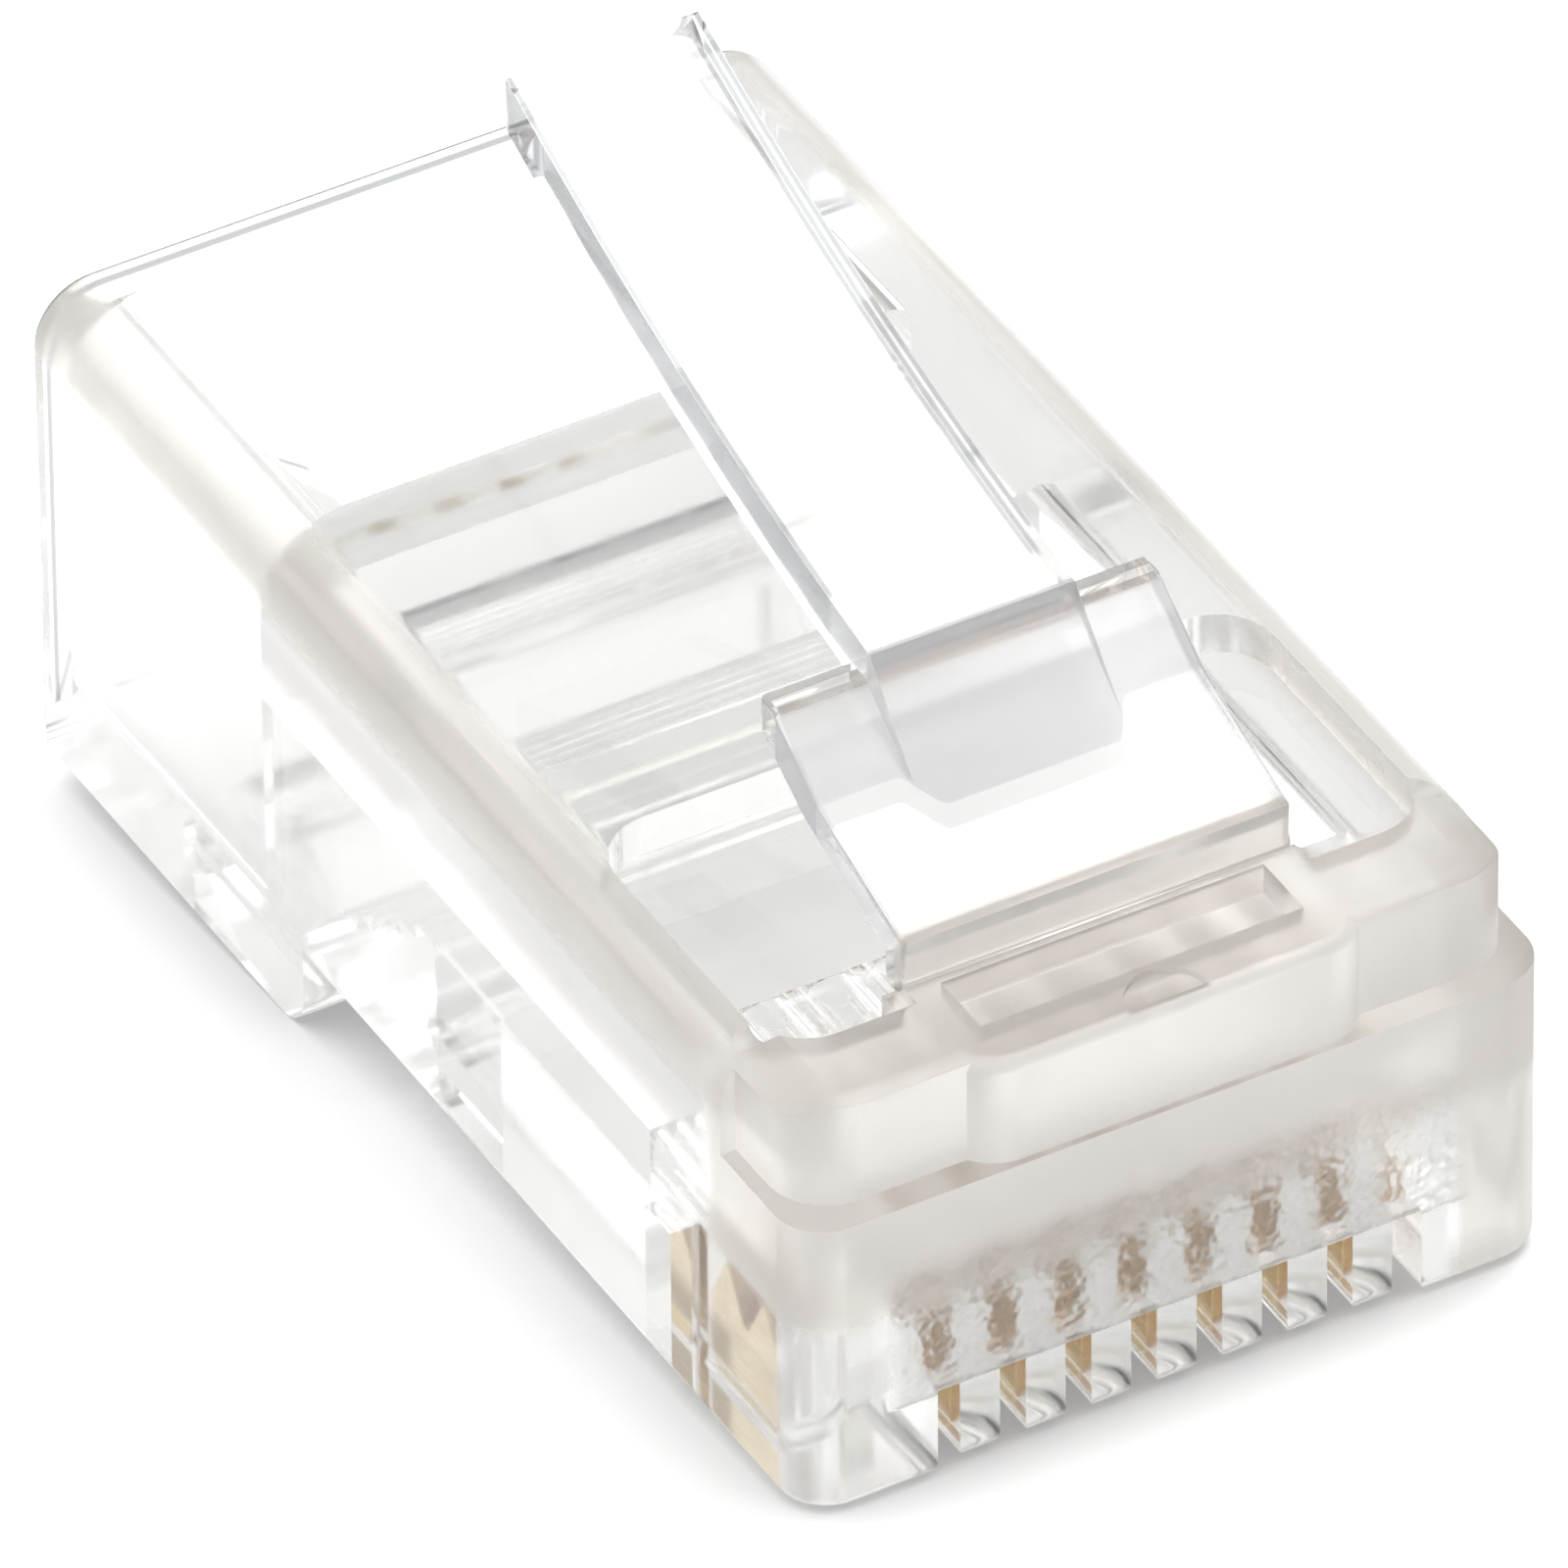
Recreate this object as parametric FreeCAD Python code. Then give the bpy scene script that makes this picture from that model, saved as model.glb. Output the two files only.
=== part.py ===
import FreeCAD, Part
import math
import os

# Eight-contact modular plug as delivered, before a cable is crimped into it.
# Millimetres. X runs across the plug, +Y from the nose to the cable mouth, +Z to the latch side.
# The origin is the middle of the footprint, level with the underside of the thick rear section.
# Distances named "..._back" are measured from the nose face towards the cable mouth.

# Body
body_width = 11.68
body_length = 21.46
rear_height = 7.90
step_height = 1.30
rear_length = 7.56
top_edge_radius = 0.95
step_radius = 0.60
outer_edge_radius = 0.25
nose_edge_radius = 0.75
mouth_edge_radius = 0.20

# Walls around the cable cavity
side_wall = 1.10
top_wall = 0.80
floor_wall = 0.90
mouth_flare = 0.40
cavity_corner_radius = 0.60

# Throat where the cavity's ceiling drops to the wire slot, and the funnel floor that rises to it
throat_from_step = 1.60
funnel_rear_from_step = 0.90
funnel_knee_before_step = 0.30
funnel_length = 2.40
funnel_steps = 5

# Nose shelf and lead-in
shelf_below_top = 1.70
shelf_depth = 0.45
shelf_side_inset = 0.24
shelf_side_length = 2.20
nose_corner_radius = 0.90

# Latch root on the nose
root_width = 6.40
root_setback = 0.10
root_lip_length = 0.90
root_pocket_width = 5.00
root_pocket_depth = 0.50
root_hinge_land = 0.12
root_front_radius = 0.22
root_corner_radius = 0.85
gate_mark_radius = 0.62
gate_mark_depth = 0.10

# Trough that lets the latch bend down between the side rails
rail_width = 0.72
trough_front = 1.85
trough_back = 7.15
trough_depth = 0.65
trough_corner_radius = 0.90

# Latch
latch_width = 6.02
latch_edge_radius = 0.08
hinge_back = 2.45
hinge_radius = 0.22
hinge_rise = 0.05
hinge_clearance = 0.04
plate_front_overhang = 0.25
plate_front_rise = 0.69
plate_thickness = 0.42
plate_length = 2.29
plate_slope = 18.8
ramp_length = 1.21
ramp_slope = 35.0
ramp_under_length = 1.15
ramp_under_slope = 31.0
shoulder_land = 0.35
shoulder_height = 0.62

# Finger lever of the latch
lever_width = 3.20
lever_tip_width = 3.00
lever_tip_radius = 0.40
lever_thickness = 0.80
lever_foot_on_plate = 0.15
lever_start_before_shoulder = 0.50
lever_start_above_shoulder = 0.47
lever_length = 10.05
lever_rise = 3.02
lever_curl = 0.34

# Contacts
contact_count = 8
contact_pitch = 1.02
contact_thickness = 0.35
contact_clearance = 0.025
rib_edge_radius = 0.26
rib_front_radius = 0.30
rib_setback = 0.10
contact_from_nose = 0.75
contact_length = 2.90
contact_height = 2.20
contact_proud = 0.12
contact_crown_radius = 0.45
tine_count = 3
tine_height = 0.85
tine_gap = 0.12
nose_window_height = 1.50

# Flat wire slot, and the eight wire channels that it ends in above the contacts
slot_side_margin = 0.12
slot_clearance = 0.05
channel_diameter = 0.90
channel_above_nose_floor = 2.65
channel_front_wall = 0.95
channel_behind_contacts = 1.35

# Slot across the floor behind the contacts
relief_slot_length = 0.70
relief_slot_height = 2.25
relief_slot_wall = 0.55
relief_slot_land = 0.25

# Cable clamp bar in the floor of the cable cavity
clamp_rear_from_step = 4.30
clamp_length = 3.20
clamp_width = 7.00
clamp_height = 1.90
clamp_base_height = 0.80
clamp_gap = 0.12

# Wire clamp bar in the floor of the nose section
wire_bar_rear_from_step = 2.90
wire_bar_length = 1.70
wire_bar_width = 8.00
wire_bar_height = 1.60
wire_bar_base_height = 1.12
wire_bar_recess = 0.30
wire_bar_gap = 0.12

# Thin moulded hinge of both bars
bar_hinge_radius = 0.22
bar_hinge_clearance = 0.04
bar_peak_share = 1 / 3

# Cutting shapes run this far past the faces they open, and lengths closer than this are the same
past = 1.0
same = 1e-4

nose_y = -body_length / 2
mouth_y = body_length / 2
half_width = body_width / 2
nose_floor_z = step_height
step_back = body_length - rear_length
wire_bar_rear_back = step_back - wire_bar_rear_from_step
shelf_z = rear_height - shelf_below_top
cavity_half = half_width - side_wall
ceiling_z = rear_height - top_wall
channel_z = nose_floor_z + channel_above_nose_floor
channel_radius = channel_diameter / 2
slot_rear_back = step_back - funnel_length
comb_half = contact_pitch * contact_count / 2
contact_slot_width = contact_thickness + 2 * contact_clearance
ribs_half = comb_half - (contact_pitch - contact_slot_width) / 2
contact_rear_back = contact_from_nose + contact_length
slot_front_back = contact_rear_back + channel_behind_contacts
slot_half = comb_half + slot_side_margin
slot_floor_z = channel_z - channel_radius - slot_clearance
slot_ceiling_z = channel_z + channel_radius + slot_clearance
hinge_z = rear_height + hinge_rise


def behind(distance):
    """Y of a point this far behind the nose face."""
    return nose_y + distance


def vector(x, y, z):
    return FreeCAD.Vector(x, y, z)


def block(x_low, x_high, y_low, y_high, z_low, z_high):
    return Part.makeBox(x_high - x_low, y_high - y_low, z_high - z_low, vector(x_low, y_low, z_low))


def prism(outline, half, x_middle=0.0):
    """Closed (y, z) outline carried equally to both sides of x_middle."""
    points = [vector(x_middle - half, y, z) for y, z in outline]
    face = Part.Face(Part.makePolygon(points + points[:1]))
    return face.extrude(vector(2 * half, 0, 0))


def rod_across(y, z, radius, half):
    """Round bar along X."""
    return Part.makeCylinder(radius, 2 * half, vector(-half, y, z), vector(1, 0, 0))


def edge_runs(edge, axis):
    """True for a straight edge that runs along one axis (0, 1 or 2)."""
    spans = [edge.BoundBox.XLength, edge.BoundBox.YLength, edge.BoundBox.ZLength]
    longest = spans.pop(axis)
    return longest > same and max(spans) < same


def near(value, target):
    return abs(value - target) < same


def round_edges(shape, radius, wanted):
    edges = [edge for edge in shape.Edges if wanted(edge)]
    return shape.makeFillet(radius, edges)


def rounded_slab(half, y_low, y_high, z_low, z_high, radius):
    """Flat block whose four upright corners are rounded."""
    slab = block(-half, half, y_low, y_high, z_low, z_high)
    return round_edges(slab, radius, lambda edge: edge_runs(edge, 2))


# Housing

def outer_body():
    """Thick rear section, thinner nose section and the rounded outer edges."""
    outline = [
        (nose_y, nose_floor_z),
        (behind(step_back), nose_floor_z),
        (behind(step_back), 0),
        (mouth_y, 0),
        (mouth_y, rear_height),
        (nose_y, rear_height),
    ]
    body = prism(outline, half_width)
    body = round_edges(body, top_edge_radius, lambda edge: edge_runs(edge, 1)
                       and near(edge.CenterOfMass.z, rear_height))
    body = round_edges(body, step_radius, lambda edge: edge_runs(edge, 0)
                       and near(edge.CenterOfMass.y, behind(step_back)) and near(edge.CenterOfMass.z, 0))
    body = round_edges(body, mouth_edge_radius, lambda edge: near(edge.BoundBox.YMin, mouth_y))
    body = round_edges(body, nose_edge_radius, lambda edge: edge_runs(edge, 2)
                       and near(edge.CenterOfMass.y, nose_y))
    return round_edges(body, outer_edge_radius, lambda edge: near(edge.BoundBox.ZMax, nose_floor_z)
                       and near(edge.BoundBox.ZMin, nose_floor_z)
                       and edge.CenterOfMass.y < behind(step_back) - past)


def nose_top_outline():
    """Plan outline of the nose above the shelf, carried upwards."""
    return rounded_slab(half_width - shelf_side_inset, behind(shelf_depth), behind(step_back),
                        shelf_z, rear_height + past, nose_corner_radius)


def nose_trim():
    """What the nose loses above the shelf, at the front and along both sides."""
    around = block(-half_width - past, half_width + past, nose_y - past, behind(shelf_side_length),
                   shelf_z, rear_height + past)
    return around.cut(nose_top_outline())


def trough():
    return rounded_slab(half_width - rail_width, behind(trough_front), behind(trough_back),
                        rear_height - trough_depth, rear_height + past, trough_corner_radius)


def latch_root():
    """Block on the nose that carries the latch, its front corners and top edge rounded."""
    front = behind(root_setback)
    root = block(-root_width / 2, root_width / 2, front, behind(hinge_back), shelf_z, rear_height)
    root = round_edges(root, root_corner_radius, lambda edge: edge_runs(edge, 2)
                       and near(edge.CenterOfMass.y, front))
    return round_edges(root, root_front_radius, lambda edge: near(edge.BoundBox.ZMin, rear_height)
                       and edge.CenterOfMass.y < behind(hinge_back) - root_hinge_land
                       and not edge_runs(edge, 1))


def root_cuts():
    """Pocket, half-round gate mark and round hinge seat in the top of the latch root."""
    lip_rear = behind(root_setback + root_lip_length)
    pocket_rear = behind(hinge_back - hinge_radius - hinge_clearance - root_hinge_land)
    pocket = block(-root_pocket_width / 2, root_pocket_width / 2, lip_rear, pocket_rear,
                   rear_height - root_pocket_depth, rear_height + past)
    gate_y = lip_rear - gate_mark_radius - gate_mark_depth
    gate_z = rear_height - gate_mark_depth
    gate = Part.makeCylinder(gate_mark_radius, gate_mark_depth + past, vector(0, gate_y, gate_z))
    gate = gate.common(block(-gate_mark_radius, gate_mark_radius, gate_y, lip_rear, gate_z, rear_height + past))
    seat = rod_across(behind(hinge_back), hinge_z, hinge_radius + hinge_clearance, root_width)
    return [pocket, gate, seat]


def cavity():
    """Cable cavity with rounded long edges, open at the mouth."""
    box = block(-cavity_half, cavity_half, behind(step_back + throat_from_step), mouth_y + past, floor_wall, ceiling_z)
    return round_edges(box, cavity_corner_radius, lambda edge: edge_runs(edge, 1))


def funnel_floor():
    """Points (y, z) of the funnel's floor, in small steps from the cavity up to the wire slot."""
    knee = (behind(step_back - funnel_knee_before_step), nose_floor_z + floor_wall)
    run = (behind(slot_rear_back) - knee[0]) / funnel_steps
    rise = (slot_floor_z - knee[1]) / funnel_steps
    points = [(behind(step_back + funnel_rear_from_step), floor_wall), knee]
    for step in range(funnel_steps):
        points.append((knee[0] + run * (step + 1), knee[1] + rise * step))
        points.append((knee[0] + run * (step + 1), knee[1] + rise * (step + 1)))
    return points


def wire_slot():
    """Funnel and flat slot that lead the wires from the cable cavity to their channels."""
    inside_cavity = behind(step_back + throat_from_step) + cavity_corner_radius
    outline = [(inside_cavity, floor_wall)] + funnel_floor() + [
        (behind(slot_front_back), slot_floor_z),
        (behind(slot_front_back), slot_ceiling_z),
        (inside_cavity, slot_ceiling_z),
    ]
    return prism(outline, slot_half)


def mouth():
    """Flared lip of the cable mouth."""
    inner = (cavity_half, floor_wall, ceiling_z)
    flares = []
    for y, grow in ((mouth_y - mouth_flare, 0.0), (mouth_y + past, mouth_flare + past)):
        half, low, high = inner[0] + grow, inner[1] - grow, inner[2] + grow
        corners = [vector(-half, y, low), vector(half, y, low), vector(half, y, high), vector(-half, y, high)]
        flares.append(Part.makePolygon(corners + corners[:1]))
    return Part.makeLoft(flares, True, True)


def contact_x(number):
    """Middle of a contact, counted from 0 at the -X side."""
    return (number - (contact_count - 1) / 2) * contact_pitch


def rib_front():
    """What the row of ribs loses at its front: it stands a little behind the nose face, its lower edge rounded."""
    front = nose_y + rib_setback
    recess = block(-ribs_half, ribs_half, nose_y - past, front,
                   nose_floor_z - past, nose_floor_z + nose_window_height)
    edge = block(-ribs_half, ribs_half, nose_y - past, front + rib_front_radius,
                 nose_floor_z - past, nose_floor_z + rib_front_radius)
    rounding = rod_across(front + rib_front_radius, nose_floor_z + rib_front_radius, rib_front_radius, ribs_half)
    return recess.fuse(edge.cut(rounding))


def rib_rounding(x):
    """What the ribs on both sides of a contact slot lose at their rounded lower edges."""
    half = contact_slot_width / 2 + rib_edge_radius
    front = nose_y - past
    rear = behind(contact_rear_back + contact_clearance)
    loss = block(x - half, x + half, front, rear, nose_floor_z - past, nose_floor_z + rib_edge_radius)
    for side in (x - half, x + half):
        low_edge = vector(side, front, nose_floor_z + rib_edge_radius)
        loss = loss.cut(Part.makeCylinder(rib_edge_radius, rear - front, low_edge, vector(0, 1, 0)))
    return loss


def wire_channels():
    """Wire channels, and under each the slot of its contact."""
    cuts = []
    for number in range(contact_count):
        x = contact_x(number)
        start = vector(x, behind(channel_front_wall), channel_z)
        length = slot_front_back - channel_front_wall + slot_clearance
        cuts.append(Part.makeCylinder(channel_radius, length, start, vector(0, 1, 0)))
        low = block(x - contact_slot_width / 2, x + contact_slot_width / 2,
                    nose_y - past, behind(contact_rear_back + contact_clearance),
                    nose_floor_z - past, nose_floor_z + nose_window_height)
        high = block(x - contact_slot_width / 2, x + contact_slot_width / 2,
                     behind(contact_from_nose - contact_clearance),
                     behind(contact_rear_back + contact_clearance),
                     nose_floor_z, channel_z)
        cuts += [low, high, rib_rounding(x)]
    return cuts


def relief_slot():
    """Slot across the floor just behind the contacts."""
    half = half_width - relief_slot_wall
    front = contact_rear_back + relief_slot_land
    return block(-half, half, behind(front), behind(front + relief_slot_length),
                 nose_floor_z - past, nose_floor_z + relief_slot_height)


def bar_window(rear_back, length, width, gap, z_low, z_high):
    """Opening in a floor for a clamp bar, with the round seat of the bar's hinge."""
    window = block(-width / 2 - gap, width / 2 + gap, behind(rear_back - length - gap), behind(rear_back),
                   z_low - past, z_high)
    seat = rod_across(behind(rear_back), z_low + bar_hinge_radius, bar_hinge_radius + bar_hinge_clearance,
                      width / 2 + gap)
    return window.fuse(seat)


def housing():
    """The whole clear moulding except its three bending members."""
    bar_half = wire_bar_width / 2 + wire_bar_gap
    body = outer_body().cut(nose_trim())
    body = body.cut(trough()).fuse(latch_root()).cut(root_cuts())
    body = body.cut([cavity(), mouth(), wire_slot()])
    body = body.cut(rib_front()).cut(wire_channels())
    body = body.cut(relief_slot())
    body = body.cut(bar_window(step_back + clamp_rear_from_step, clamp_length, clamp_width, clamp_gap,
                               0, floor_wall + past))
    body = body.cut(bar_window(wire_bar_rear_back, wire_bar_length, wire_bar_width, wire_bar_gap,
                               nose_floor_z + wire_bar_recess, channel_z))
    body = body.cut(block(-bar_half, bar_half,
                          behind(wire_bar_rear_back - wire_bar_length - wire_bar_gap), behind(wire_bar_rear_back),
                          nose_floor_z - past, channel_z))
    return body.removeSplitter()


# Latch

def sloped(start, run, angle):
    """Point (y, z) this far behind start along a slope in degrees."""
    return start[0] + run, start[1] + run * math.tan(math.radians(angle))


def latch_points():
    """Front and rear of the plate, and front and rear of the shoulder's land, as (y, z) on the upper surface."""
    front = (behind(hinge_back - plate_front_overhang), hinge_z + plate_front_rise)
    plate_rear = sloped(front, plate_length, plate_slope)
    ramp_top = sloped(plate_rear, ramp_length, ramp_slope)
    shoulder = (ramp_top[0] + shoulder_land, ramp_top[1])
    return front, plate_rear, ramp_top, shoulder


def latch_wide_part():
    """Hinge web, sloping plate, and the ramp that ends in the two shoulders that lock in a jack."""
    front, plate_rear, ramp_top, shoulder = latch_points()
    shoulder_foot = (shoulder[0], shoulder[1] - shoulder_height)
    web_rear = behind(hinge_back + hinge_radius)
    outline = [
        front,
        plate_rear,
        ramp_top,
        shoulder,
        shoulder_foot,
        sloped(shoulder_foot, -ramp_under_length, ramp_under_slope),
        (web_rear, hinge_z + plate_front_rise - plate_thickness),
        (web_rear, hinge_z),
        (behind(hinge_back - hinge_radius), hinge_z),
    ]
    wide = prism(outline, latch_width / 2)
    return round_edges(wide, latch_edge_radius, lambda edge: near(edge.BoundBox.XMax, edge.BoundBox.XMin)
                       and edge.CenterOfMass.z > hinge_z + hinge_radius)


def lever():
    """Finger lever: a steep foot on the plate, then a strip that curls gently upwards and narrows to its tip."""
    points = latch_points()
    front, shoulder = points[0], points[-1]
    foot = sloped(front, plate_length - lever_foot_on_plate, plate_slope)
    start = vector(0, shoulder[0] - lever_start_before_shoulder, shoulder[1] + lever_start_above_shoulder)
    tip = start + vector(0, lever_length, lever_rise)
    middle = (start + tip) / 2 - vector(0, 0, lever_curl)
    top = Part.Arc(start, middle, tip).toShape()
    centre = top.Curve.Center
    below = [point + (point - centre).normalize() * lever_thickness for point in (tip, middle, start)]
    foot_top = vector(0, *foot)
    foot_below = foot_top - vector(0, 0, plate_thickness / 2)
    wire = Part.Wire([
        Part.makeLine(foot_top, start),
        top,
        Part.makeLine(tip, below[0]),
        Part.Arc(*below).toShape(),
        Part.makeLine(below[2], foot_below),
        Part.makeLine(foot_below, foot_top),
    ])
    strip = Part.Face(wire).extrude(vector(lever_width, 0, 0))
    strip.translate(vector(-lever_width / 2, 0, 0))
    return strip.common(lever_plan(foot[0], below[0].y))


def lever_plan(front, rear):
    """Outline of the lever from above, carried upwards: its taper and the round corners of its tip."""
    corners = [
        vector(-lever_width / 2, front, rear_height),
        vector(lever_width / 2, front, rear_height),
        vector(lever_tip_width / 2, rear, rear_height),
        vector(-lever_tip_width / 2, rear, rear_height),
    ]
    plan = Part.Face(Part.makePolygon(corners + corners[:1]))
    plan = plan.extrude(vector(0, 0, body_length))
    return round_edges(plan, lever_tip_radius, lambda edge: edge_runs(edge, 2)
                       and near(edge.CenterOfMass.y, rear))


def locking_tab():
    knuckle = rod_across(behind(hinge_back), hinge_z, hinge_radius, latch_width / 2)
    return latch_wide_part().fuse([lever(), knuckle]).removeSplitter()


# Contacts

def contact(number):
    """Gold-plated blade with three tines that pierce the wire when it is pressed home."""
    low = nose_floor_z - contact_proud
    front = behind(contact_from_nose)
    rear = behind(contact_rear_back)
    tine_base = low + contact_height - tine_height
    plate = block(-contact_thickness / 2, contact_thickness / 2, front, rear, low, tine_base)
    plate = round_edges(plate, contact_crown_radius, lambda edge: edge_runs(edge, 0)
                        and near(edge.CenterOfMass.z, low))
    tine_width = (contact_length - (tine_count - 1) * tine_gap) / tine_count
    for tine in range(tine_count):
        y = front + tine * (tine_width + tine_gap)
        outline = [(y, tine_base), (y + tine_width, tine_base), (y + tine_width / 2, tine_base + tine_height)]
        plate = plate.fuse(prism(outline, contact_thickness / 2))
    plate = plate.removeSplitter()
    plate.translate(vector(contact_x(number), 0, 0))
    return plate


# Clamp bars

def clamp_bar(rear_back, length, width, base_height, peak_height, z_low):
    """Wedge bar moulded into a floor, free at the nose end and hinged at its rear lower edge."""
    rear = behind(rear_back)
    front = rear - length
    peak = front + length * bar_peak_share
    pivot_z = z_low + bar_hinge_radius
    outline = [
        (front, z_low),
        (rear, z_low),
        (rear, pivot_z),
        (peak, z_low + peak_height),
        (front, z_low + base_height),
    ]
    wedge = prism(outline, width / 2)
    return wedge.fuse(rod_across(rear, pivot_z, bar_hinge_radius, width / 2)).removeSplitter()


def cable_clamp_bar():
    return clamp_bar(step_back + clamp_rear_from_step, clamp_length, clamp_width,
                     clamp_base_height, clamp_height, 0)


def wire_clamp_bar():
    return clamp_bar(wire_bar_rear_back, wire_bar_length, wire_bar_width,
                     wire_bar_base_height, wire_bar_height, nose_floor_z + wire_bar_recess)


os.makedirs("parts", exist_ok=True)
pieces = {
    "housing": housing(),
    "locking_tab": locking_tab(),
    "cable_clamp_bar": cable_clamp_bar(),
    "wire_clamp_bar": wire_clamp_bar(),
}
for number in range(contact_count):
    pieces[f"contact_{number + 1}"] = contact(number)
for name, shape in pieces.items():
    print(name, "solids", len(shape.Solids), "valid", shape.isValid(), "volume", round(shape.Volume, 3))
    shape.exportStep(f"parts/{name}.step")
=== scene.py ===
import math

import bpy
from mathutils import Matrix, Vector


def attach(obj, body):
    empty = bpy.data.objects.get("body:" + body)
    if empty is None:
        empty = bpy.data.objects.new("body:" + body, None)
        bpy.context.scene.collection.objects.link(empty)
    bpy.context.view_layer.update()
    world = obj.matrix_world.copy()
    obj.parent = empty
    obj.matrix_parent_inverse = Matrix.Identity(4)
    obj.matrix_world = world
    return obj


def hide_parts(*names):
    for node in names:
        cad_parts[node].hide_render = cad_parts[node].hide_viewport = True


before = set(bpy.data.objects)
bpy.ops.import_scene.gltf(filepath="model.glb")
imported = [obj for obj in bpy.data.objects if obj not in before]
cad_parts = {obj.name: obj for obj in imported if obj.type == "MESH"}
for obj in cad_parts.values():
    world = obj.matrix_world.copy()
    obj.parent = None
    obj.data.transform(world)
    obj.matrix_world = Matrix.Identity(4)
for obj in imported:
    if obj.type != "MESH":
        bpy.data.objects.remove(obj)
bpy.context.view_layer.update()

# Camera
# The photograph is taken with a long lens from the nose end, from above and from the plug's left side.
# It is rolled by about half a degree.
azimuth = math.radians(29.29)
elevation = math.radians(38.91)
roll = math.radians(-0.60)
focal_length_mm = 746.8
camera_place = Vector((-0.1692, -0.3016, 0.2834))
forward = Vector((math.sin(azimuth) * math.cos(elevation),
                  math.cos(azimuth) * math.cos(elevation),
                  -math.sin(elevation)))
level_right = Vector((math.cos(azimuth), -math.sin(azimuth), 0.0))
level_up = level_right.cross(forward)
right = level_right * math.cos(roll) + level_up * math.sin(roll)
up = level_up * math.cos(roll) - level_right * math.sin(roll)
camera_turn = Matrix((right, up, -forward)).transposed()
lens = bpy.data.cameras.new("photo_lens")
lens.sensor_width = 36.0
lens.lens = focal_length_mm
lens.clip_start = 0.01
camera = bpy.data.objects.new("photo_camera", lens)
camera.matrix_world = Matrix.Translation(camera_place) @ camera_turn.to_4x4()
bpy.context.scene.collection.objects.link(camera)
bpy.context.scene.camera = camera


# Housing
# One injection moulding in clear polycarbonate, shared with the locking tab and both clamp bars. The mould is
# polished for the plug's sides, and spark eroded for the nose, the rails and the front of the ribs.
def linear(hex_colour):
    """Linear colour of an sRGB hex value."""
    values = [int(hex_colour[place:place + 2], 16) / 255 for place in (1, 3, 5)]
    return [v / 12.92 if v <= 0.04045 else ((v + 0.055) / 1.055) ** 2.4 for v in values] + [1.0]


def add_node(tree, kind, settings=None, inputs=None, links=None):
    """Adds a node, sets its properties and sockets, and links other nodes' outputs into it."""
    node = tree.nodes.new(kind)
    for name, value in (settings or {}).items():
        setattr(node, name, value)
    for name, value in (inputs or {}).items():
        node.inputs[name].default_value = value
    for name, output in (links or {}).items():
        tree.links.new(output, node.inputs[name])
    return node


def new_material(name):
    material = bpy.data.materials.new(name)
    material.use_nodes = True
    material.node_tree.nodes.clear()
    return material, material.node_tree


def zone(tree, *limits):
    """Mask of a region. A limit is a value, the place where the mask is 0 and the place where it is 1."""
    mask = None
    for value, outside, inside in limits:
        step = add_node(tree, "ShaderNodeMapRange", {"interpolation_type": "SMOOTHSTEP"},
                        {"From Min": min(outside, inside), "From Max": max(outside, inside),
                         "To Min": float(outside > inside), "To Max": float(outside < inside)},
                        {"Value": value}).outputs[0]
        if mask is None:
            mask = step
        else:
            mask = add_node(tree, "ShaderNodeMath", {"operation": "MULTIPLY"},
                            links={0: mask, 1: step}).outputs[0]
    return mask


# Clear polycarbonate has no colour of its own. It looks like water-clear glass where it is polished, a little
# wavy from its flow into the mould, and milky in a warm tone where it is frosted.
clear_plastic, tree = new_material("moulded_clear_polycarbonate")
coordinates = add_node(tree, "ShaderNodeTexCoord")
place = add_node(tree, "ShaderNodeSeparateXYZ", links={"Vector": coordinates.outputs["Object"]})
x, y, z = (place.outputs[axis] for axis in "XYZ")
from_middle = add_node(tree, "ShaderNodeMath", {"operation": "ABSOLUTE"}, links={0: x}).outputs[0]

# Frosted: the thick nose with its right end, the rounded rails, and the front of the ribs
nose = zone(tree, (y, -0.0079, -0.0085), (z, 0.0042, 0.0048))
nose_right_end = zone(tree, (x, 0.0042, 0.0045), (y, -0.0088, -0.0095))
rails = zone(tree, (from_middle, 0.0048, 0.0052), (z, 0.0066, 0.0071))
ribs_front = zone(tree, (y, -0.01055, -0.01065), (from_middle, 0.0046, 0.0042), (z, 0.00272, 0.00282),
                  (z, 0.0054, 0.0046))

# Less polished: the sides, and the foremost part of the nose
sides = zone(tree, (from_middle, 0.00570, 0.00580))
nose_front = zone(tree, (y, -0.0095, -0.0102))

# Matt: the tab's ramp, which the lever's foot carries 0.6 mm further onto the plate in its middle
foot_reach = 0.0006
ramp_front = add_node(tree, "ShaderNodeMath", {"operation": "MULTIPLY_ADD"}, {1: foot_reach},
                      {0: zone(tree, (from_middle, 0.0018, 0.0013)), 2: y}).outputs[0]
ramp = zone(tree, (ramp_front, -0.00628, -0.00618), (y, -0.00505, -0.00515), (z, 0.00800, 0.00802))

# Painted shade: grey where clear plastic seen edge on would show its darker surroundings, as a line along the
# mouth and on the lever's edges and side faces. The lever gets narrower towards its tip.
lever_taper = 0.0095
from_lever_middle = add_node(tree, "ShaderNodeMath", {"operation": "MULTIPLY_ADD"}, {1: lever_taper},
                             {0: y, 2: from_middle}).outputs[0]
behind_shoulders = (y, -0.0042, -0.0040)
over_housing = (z, 0.0083, 0.0084)
mouth_line = zone(tree, (y, 0.01056, 0.01059), (y, 0.01068, 0.01065))
lever_line = zone(tree, (from_lever_middle, 0.00145, 0.00147), (from_lever_middle, 0.00154, 0.00153),
                  behind_shoulders, over_housing)
painted_lever_side_shade = zone(tree, (from_lever_middle, 0.00153, 0.00154), behind_shoulders, over_housing)

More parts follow.
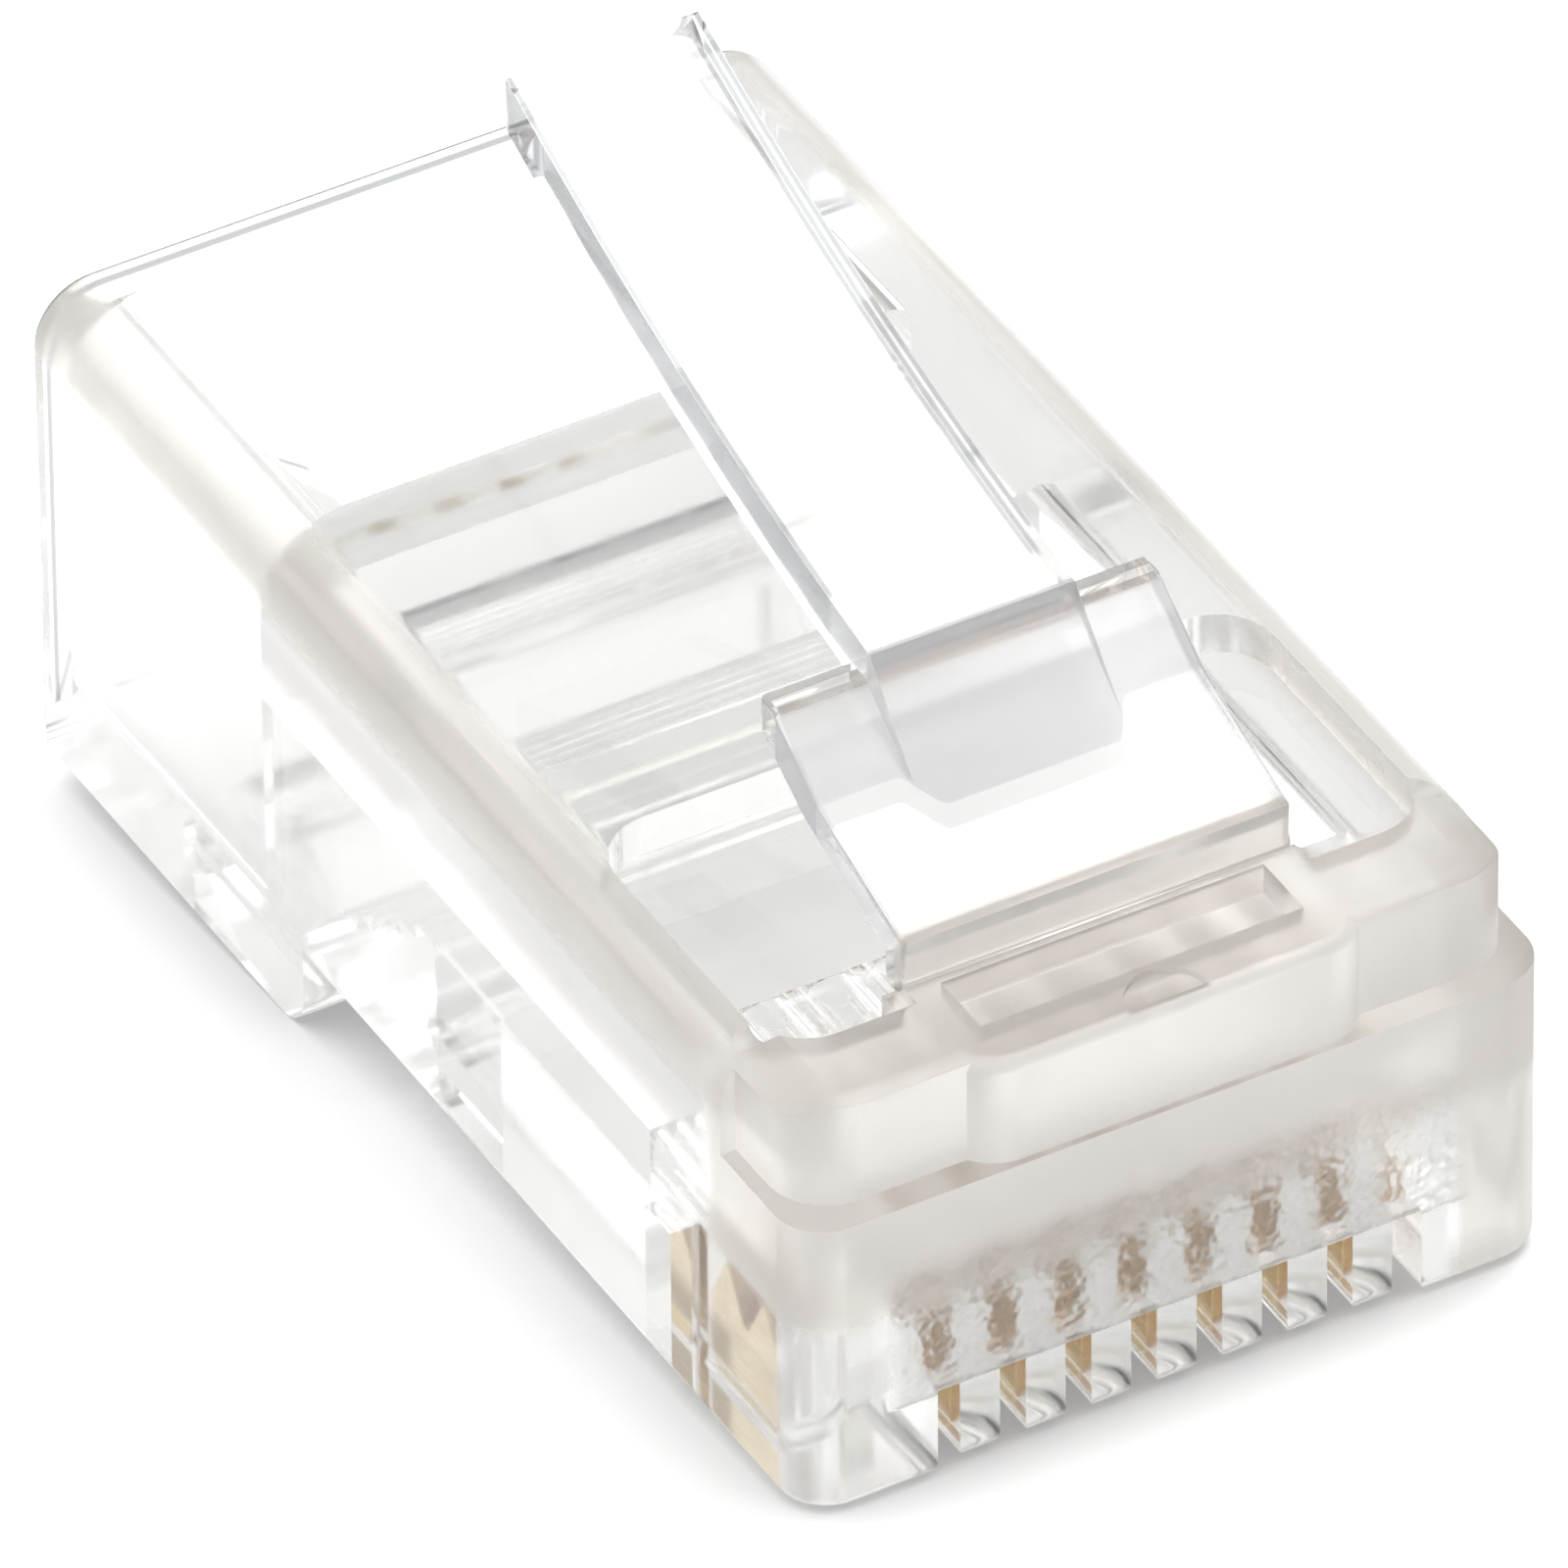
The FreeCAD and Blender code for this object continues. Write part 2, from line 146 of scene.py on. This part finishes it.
# Handling leaves faint marks about 0.7 mm apart. Each finish adds its own roughness to the polish.
mark_spacing = 0.0007143
polished, handled = 0.03, 0.08
marks = add_node(tree, "ShaderNodeTexNoise", inputs={"Scale": 1 / mark_spacing, "Detail": 1.0},
                 links={"Vector": coordinates.outputs["Object"]})
polish = add_node(tree, "ShaderNodeMapRange", inputs={
    "From Min": 0.35, "From Max": 0.75, "To Min": polished, "To Max": handled},
    links={"Value": marks.outputs["Fac"]})
roughness = polish.outputs[0]
for finish, added in ((nose, 0.30), (ribs_front, 0.34), (rails, 0.26), (sides, 0.07), (ramp, 0.30),
                      (nose_front, 0.10), (nose_right_end, 0.20)):
    roughness = add_node(tree, "ShaderNodeMath", {"operation": "MULTIPLY_ADD"}, {1: added},
                         {0: finish, 2: roughness}).outputs[0]

# Flow waves about 2.4 mm wide, drawn out along the plug. The real pits of the eroded mould, about 0.05 mm
# wide, are too fine to show, so they are drawn 0.24 mm wide on the front of the ribs.
wave_width, wave_depth = 0.002381, 0.00005
pit_width, pit_depth = 0.0002381, 0.00012
along_flow = add_node(tree, "ShaderNodeMapping", inputs={"Scale": (1.0, 0.35, 1.0)},
                      links={"Vector": coordinates.outputs["Object"]})
flow = add_node(tree, "ShaderNodeTexNoise", inputs={"Scale": 1 / wave_width, "Detail": 0.0},
                links={"Vector": along_flow.outputs[0]})
flow_waves = add_node(tree, "ShaderNodeBump", inputs={"Strength": 0.12, "Distance": wave_depth},
                      links={"Height": flow.outputs["Fac"]})
pits = add_node(tree, "ShaderNodeTexNoise", inputs={"Scale": 1 / pit_width, "Detail": 1.0},
                links={"Vector": coordinates.outputs["Object"]})
pits_on_ribs = add_node(tree, "ShaderNodeMath", {"operation": "MULTIPLY"},
                        links={0: pits.outputs["Fac"], 1: ribs_front})
surface = add_node(tree, "ShaderNodeBump", inputs={"Strength": 1.0, "Distance": pit_depth},
                   links={"Height": pits_on_ribs.outputs[0], "Normal": flow_waves.outputs[0]})

# Water-clear, with a warm milky tone where it is frosted, then painted shade: a pale cool grey on the ramp,
# and the grey edge lines
frosted = nose
for finish in (rails, nose_right_end):
    frosted = add_node(tree, "ShaderNodeMath", {"operation": "MAXIMUM"},
                       links={0: frosted, 1: finish}).outputs[0]
painted_edge_shade = add_node(tree, "ShaderNodeMath", {"operation": "MAXIMUM"},
                     links={0: mouth_line, 1: lever_line}).outputs[0]
tint = add_node(tree, "ShaderNodeMix", {"data_type": "RGBA"},
                {"A": linear("#FDFDFC"), "B": linear("#F3ECE5")}, {"Factor": frosted})
for finish, hex_colour in ((ramp, "#EDECEF"), (painted_lever_side_shade, "#C4C7CA"), (painted_edge_shade, "#808488")):
    tint = add_node(tree, "ShaderNodeMix", {"data_type": "RGBA"}, {"B": linear(hex_colour)},
                    {"Factor": finish, "A": tint.outputs["Result"]})
shader = add_node(tree, "ShaderNodeBsdfPrincipled", inputs={
    "Transmission Weight": 1.0,
    "IOR": 1.585,
}, links={"Base Color": tint.outputs["Result"], "Roughness": roughness, "Normal": surface.outputs[0]})
add_node(tree, "ShaderNodeOutputMaterial", links={"Surface": shader.outputs[0]})


def select_only(piece):
    bpy.ops.object.select_all(action="DESELECT")
    piece.select_set(True)
    bpy.context.view_layer.objects.active = piece


def smooth_copy(node, name, edge_radius, material):
    """Merged copy of a CAD node in a material, its edges rounded as the mould or die leaves them."""
    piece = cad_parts[node].copy()
    piece.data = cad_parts[node].data.copy()
    piece.name = name
    piece.data.name = name
    for key in list(piece.keys()):
        del piece[key]
    piece.parent = None
    bpy.context.scene.collection.objects.link(piece)
    select_only(piece)
    bpy.ops.object.mode_set(mode="EDIT")
    bpy.ops.mesh.select_all(action="SELECT")
    bpy.ops.mesh.remove_doubles(threshold=1e-7)
    bpy.ops.mesh.customdata_custom_splitnormals_clear()
    bpy.ops.mesh.dissolve_limited(angle_limit=math.radians(0.5))
    bpy.ops.object.mode_set(mode="OBJECT")
    bevel = piece.modifiers.new("rounded_edge", "BEVEL")
    bevel.width = edge_radius
    bevel.segments = 2
    bevel.limit_method = "ANGLE"
    bevel.angle_limit = math.radians(35)
    bevel.harden_normals = False
    bpy.ops.object.modifier_apply(modifier=bevel.name)
    bpy.ops.object.shade_smooth_by_angle(angle=math.radians(40))
    flats = piece.modifiers.new("flat_faces_stay_flat", "WEIGHTED_NORMAL")
    flats.mode = "FACE_AREA"
    flats.weight = 100
    flats.keep_sharp = True
    bpy.ops.object.modifier_apply(modifier=flats.name)
    piece.data.materials.clear()
    piece.data.materials.append(material)
    return piece


mould_edge = 0.00005
housing = smooth_copy("housing", "clear_housing", mould_edge, clear_plastic)
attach(housing, "housing")
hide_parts("housing")

# Locking tab
# Part of the same moulding, which bends at its thin root on the nose. Plate, ramp, shoulders and lever have
# softer edges than the housing.
tab_edge = 0.00009
locking_tab = smooth_copy("locking_tab", "clear_locking_tab", tab_edge, clear_plastic)
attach(locking_tab, "locking_tab")
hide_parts("locking_tab")

# Clamp bars
# Two wedges of the same moulding in the floor, one for the cable's jacket and one for its wires. A crimp tool
# folds them inwards.
for node in ("cable_clamp_bar", "wire_clamp_bar"):
    bar = smooth_copy(node, f"clear_{node}", mould_edge, clear_plastic)
    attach(bar, node)
    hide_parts(node)

# Contacts
# Eight stamped phosphor bronze blades with three piercing tines, gold plated over nickel. They sit in their
# slots until a crimp tool presses them into the wires.
contact_pitch = 0.00102
blade_edge = 0.00003

# Gold plating over rolled bronze is pale and satin on the rolled faces, and browner on the sheared edges. The
# real rolling grain, about 0.01 mm wide, is too fine to show, so it is drawn 0.06 mm wide.
grain_width, grain_depth = 0.0000625, 0.000004
plating_patch = 0.0003846
gold, tree = new_material("gold_plated_bronze")
coordinates = add_node(tree, "ShaderNodeTexCoord")
rolled = add_node(tree, "ShaderNodeMapping", inputs={"Scale": (1.0, 0.08, 1.0)},
                  links={"Vector": coordinates.outputs["Object"]})
grain = add_node(tree, "ShaderNodeTexNoise", inputs={"Scale": 1 / grain_width, "Detail": 3.0},
                 links={"Vector": rolled.outputs[0]})
plating = add_node(tree, "ShaderNodeTexNoise", inputs={"Scale": 1 / plating_patch, "Detail": 2.0},
                   links={"Vector": coordinates.outputs["Object"]})
sheared = add_node(tree, "ShaderNodeMix", {"data_type": "RGBA"},
                   {"A": linear("#D4B284"), "B": linear("#AA8660")}, {"Factor": plating.outputs["Fac"]})
rolled_face = add_node(tree, "ShaderNodeMix", {"data_type": "RGBA"},
                       {"A": linear("#FAEACB"), "B": linear("#E6CFA0")}, {"Factor": plating.outputs["Fac"]})

# A blade is 0.35 mm thick, so its rolled faces lie 0.175 mm from its middle
place = add_node(tree, "ShaderNodeSeparateXYZ", links={"Vector": coordinates.outputs["Object"]})
shifted = add_node(tree, "ShaderNodeMath", {"operation": "ADD"}, {1: contact_pitch / 2},
                   {0: place.outputs["X"]})
from_blade_middle = add_node(tree, "ShaderNodeMath", {"operation": "PINGPONG"}, {1: contact_pitch / 2},
                             {0: shifted.outputs[0]}).outputs[0]
on_face = zone(tree, (from_blade_middle, 0.00014, 0.00017))
colour = add_node(tree, "ShaderNodeMix", {"data_type": "RGBA"}, links={
    "Factor": on_face, "A": sheared.outputs["Result"], "B": rolled_face.outputs["Result"]})
sheen = add_node(tree, "ShaderNodeMapRange", inputs={
    "From Min": 0.3, "From Max": 0.7, "To Min": 0.22, "To Max": 0.40}, links={"Value": grain.outputs["Fac"]})
surface = add_node(tree, "ShaderNodeBump", inputs={"Strength": 0.3, "Distance": grain_depth},
                   links={"Height": grain.outputs["Fac"]})
shader = add_node(tree, "ShaderNodeBsdfPrincipled", inputs={"Metallic": 1.0}, links={
    "Base Color": colour.outputs["Result"], "Roughness": sheen.outputs[0], "Normal": surface.outputs[0]})
add_node(tree, "ShaderNodeOutputMaterial", links={"Surface": shader.outputs[0]})
for number in range(1, 9):
    blade = smooth_copy(f"contact_{number}", f"gold_contact_{number}", blade_edge, gold)
    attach(blade, f"contact_{number}")
    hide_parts(f"contact_{number}")

# Floor
# White card. The plug leans forward on it, on the step of its underside and the tips of the contacts.
card_size = 0.6
step_foot = Vector((0.0, 0.0034, 0.0))
nose_foot = Vector((0.0, -0.0100, 0.0012))
lean = math.atan2(nose_foot.z - step_foot.z, step_foot.y - nose_foot.y)
bpy.ops.object.select_all(action="DESELECT")
bpy.ops.mesh.primitive_grid_add(x_subdivisions=1, y_subdivisions=1, size=card_size, location=(0, 0, 0))
floor = bpy.context.object
floor.name = "white_card"
floor.data.transform(Matrix.Translation(step_foot) @ Matrix.Rotation(-lean, 4, "X"))

# Matt card, which looks white, also in gloss and through the plastic. It keeps the plug's soft shadow, and a
# painted contact shadow makes it darker close under the plug, as the camera sees it.
card_glow = 0.48
shadow_reach = 0.0022
shadow_tone = 0.52
card, tree = new_material("white_card")
path = add_node(tree, "ShaderNodeLightPath")
seen = path.outputs["Is Camera Ray"]
for kind_of_ray in ("Is Transmission Ray", "Is Glossy Ray"):
    seen = add_node(tree, "ShaderNodeMath", {"operation": "MAXIMUM"},
                    links={0: seen, 1: path.outputs[kind_of_ray]}).outputs[0]
# Painted contact shadow: occlusion within 2.2 mm darkens the card's colour and glow for camera rays only
painted_shadow_occlusion = add_node(tree, "ShaderNodeAmbientOcclusion", {"samples": 16}, {"Distance": shadow_reach})
contact_shadow = add_node(tree, "ShaderNodeMapRange", {"interpolation_type": "SMOOTHSTEP"},
                          {"From Min": 0.15, "From Max": 0.85, "To Min": shadow_tone, "To Max": 1.0},
                          {"Value": painted_shadow_occlusion.outputs["AO"]})
shade = add_node(tree, "ShaderNodeMix", {"data_type": "FLOAT"}, {"A": 1.0},
                 {"Factor": path.outputs["Is Camera Ray"], "B": contact_shadow.outputs[0]})
strength = add_node(tree, "ShaderNodeMath", {"operation": "MULTIPLY"}, {1: card_glow}, {0: seen})
strength = add_node(tree, "ShaderNodeMath", {"operation": "MULTIPLY"},
                    links={0: strength.outputs[0], 1: shade.outputs["Result"]})
tone = add_node(tree, "ShaderNodeMix", {"data_type": "RGBA"},
                {"A": linear("#000000"), "B": linear("#E6E6E6")}, {"Factor": shade.outputs["Result"]})
shader = add_node(tree, "ShaderNodeBsdfPrincipled", inputs={
    "Roughness": 0.9,
    "Specular IOR Level": 0.0,
    "Emission Color": linear("#FFFFFF"),
}, links={"Base Color": tone.outputs["Result"], "Emission Strength": strength.outputs[0]})
add_node(tree, "ShaderNodeOutputMaterial", links={"Surface": shader.outputs[0]})
floor.data.materials.append(card)

# Light
# A white tent, greyer low down and round its opening for the lens, with one softbox overhead. Light passes
# many clear walls, so it needs many bounces.
horizon_tone = 0.34
full_tone_height = 0.46
opening_direction = (-0.381, -0.679, 0.628)
opening_tone = 0.40
bounces = 32
world = bpy.data.worlds.new("white_tent")
bpy.context.scene.world = world
world.use_nodes = True
tree = world.node_tree
tree.nodes.clear()
path = add_node(tree, "ShaderNodeLightPath")
direction = add_node(tree, "ShaderNodeTexCoord")
height = add_node(tree, "ShaderNodeSeparateXYZ", links={"Vector": direction.outputs["Generated"]})
tent_tone = add_node(tree, "ShaderNodeMapRange", {"interpolation_type": "SMOOTHSTEP"},
                     {"From Min": 0.02, "From Max": full_tone_height, "To Min": horizon_tone, "To Max": 1.0},
                     {"Value": height.outputs["Z"]})
toward_opening = add_node(tree, "ShaderNodeVectorMath", {"operation": "DOT_PRODUCT"}, {1: opening_direction},
                          {0: direction.outputs["Generated"]})
opening = add_node(tree, "ShaderNodeMapRange", {"interpolation_type": "SMOOTHSTEP"},
                   {"From Min": 0.93, "From Max": 0.985, "To Min": 1.0, "To Max": opening_tone},
                   {"Value": toward_opening.outputs["Value"]})
tent_strength = add_node(tree, "ShaderNodeMath", {"operation": "MULTIPLY"},
                         links={0: tent_tone.outputs[0], 1: opening.outputs[0]})
tent = add_node(tree, "ShaderNodeBackground", inputs={"Color": linear("#FFFFFF")},
                links={"Strength": tent_strength.outputs[0]})
seen_white = add_node(tree, "ShaderNodeBackground", inputs={"Color": linear("#FFFFFF"), "Strength": 1.0})
mix = add_node(tree, "ShaderNodeMixShader", links={
    0: path.outputs["Is Camera Ray"], 1: tent.outputs[0], 2: seen_white.outputs[0]})
add_node(tree, "ShaderNodeOutputWorld", links={"Surface": mix.outputs[0]})
scene = bpy.context.scene
scene.cycles.max_bounces = bounces
scene.cycles.transmission_bounces = bounces
scene.cycles.glossy_bounces = bounces

softbox_light = bpy.data.lights.new("overhead_softbox", "AREA")
softbox_light.shape = "RECTANGLE"
softbox_light.size = 0.22
softbox_light.size_y = 0.32
softbox_light.energy = 0.77
softbox_distance = 0.5
softbox_direction = Vector((0.381, 0.180, 0.907)).normalized()
short_side = Vector((0.0, 1.0, 0.0)).cross(softbox_direction).normalized()
long_side = softbox_direction.cross(short_side)
softbox_turn = Matrix((short_side, long_side, softbox_direction)).transposed()
softbox = bpy.data.objects.new("overhead_softbox", softbox_light)
softbox.matrix_world = Matrix.Translation(softbox_direction * softbox_distance) @ softbox_turn.to_4x4()
bpy.context.scene.collection.objects.link(softbox)

bpy.context.scene.view_settings.view_transform = "Standard"
